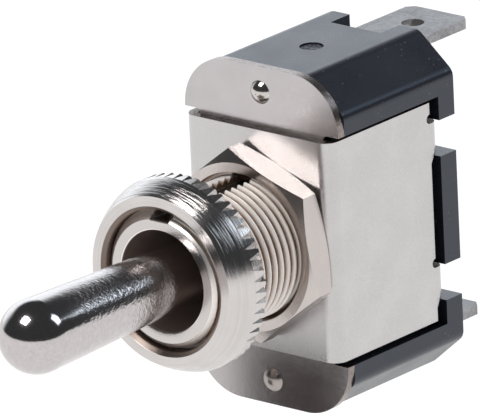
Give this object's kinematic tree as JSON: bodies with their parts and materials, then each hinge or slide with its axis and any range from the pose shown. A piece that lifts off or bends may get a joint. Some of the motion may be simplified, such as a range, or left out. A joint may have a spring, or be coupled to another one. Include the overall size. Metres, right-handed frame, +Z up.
{
  "type": "panel toggle switch",
  "caption": "Panel-mount toggle switch with a bat lever, threaded bushing, hex nut, knurled face nut, folded metal bracket, black moulded base and flat push-on terminals.",
  "frame": {"origin": "on the bushing's axis at the front face of the bracket, where the thread starts", "axes": "+Y runs back into the panel, the lever points to -Y, +X is to the right and +Z is up along the body's long side, towards the keyway"},
  "size_m": [0.0164, 0.0553, 0.029],
  "materials": {
    "bracket_nickel": "satin nickel plate",
    "plate_nickel": "satin nickel plate",
    "phenolic": "moulded black, semi-gloss",
    "bushing_nickel": "nickel plate",
    "lever_nickel": "polished nickel plate",
    "nut_nickel": "bright nickel plate",
    "rivet_nickel": "polished",
    "terminal_tin": "dull tin plate",
    "rivet_brass": "plain",
    "contact_metal": "silver",
    "inner_brass": "plain",
    "inner_steel": "plain",
    "fibre": "dark fibre board"
  },
  "bodies": {
    "housing": {"bracket": "bracket_nickel", "face_plate": "plate_nickel", "base": "phenolic", "bushing": "bushing_nickel", "dust_shield": "fibre", "plate_rivet_upper": "rivet_nickel", "plate_rivet_lower": "rivet_nickel", "upper_terminal": "terminal_tin", "lower_terminal": "terminal_tin", "upper_terminal_rivet": "rivet_brass", "lower_terminal_rivet": "rivet_brass", "fixed_contact": "contact_metal", "fulcrum_post": "inner_brass", "rocker_pin": "inner_steel", "rocker_stop": "fibre"},
    "lever_unit": {"lever": "lever_nickel", "pivot_pin": "inner_steel", "plunger_spring": "inner_steel"},
    "plunger_unit": {"plunger": "fibre"},
    "rocker_unit": {"rocker": "inner_brass", "moving_contact": "contact_metal"},
    "hex_nut_unit": {"hex_nut": "nut_nickel"},
    "dress_nut_unit": {"dress_nut": "nut_nickel"}
  },
  "joints": [
    {"name": "lever_tilt", "type": "hinge", "parent": "housing", "child": "lever_unit", "pos_m": [0, -0.0051, 0], "axis": [1, 0, 0], "range_deg": [-12, 12]},
    {"name": "rocker_tilt", "type": "hinge", "parent": "housing", "child": "rocker_unit", "pos_m": [0, 0.0104, 0], "axis": [1, 0, 0], "range_deg": [-8, 8]},
    {"name": "plunger_slide", "type": "slide", "parent": "lever_unit", "child": "plunger_unit", "axis": [0, 1, 0], "range_m": [-0.0004, 0], "stiffness_N_per_m": 500, "deforming": ["plunger_spring"]},
    {"name": "hex_nut_travel", "type": "slide", "parent": "housing", "child": "hex_nut_unit", "axis": [0, -1, 0], "range_m": [0, 0.00238]},
    {"name": "dress_nut_travel", "type": "slide", "parent": "housing", "child": "dress_nut_unit", "axis": [0, -1, 0], "range_m": [-0.00238, 0.00238]}
  ],
  "couplings": [
    {"joint": "rocker_tilt", "follows": "lever_tilt", "ratio": -0.6666}
  ]
}
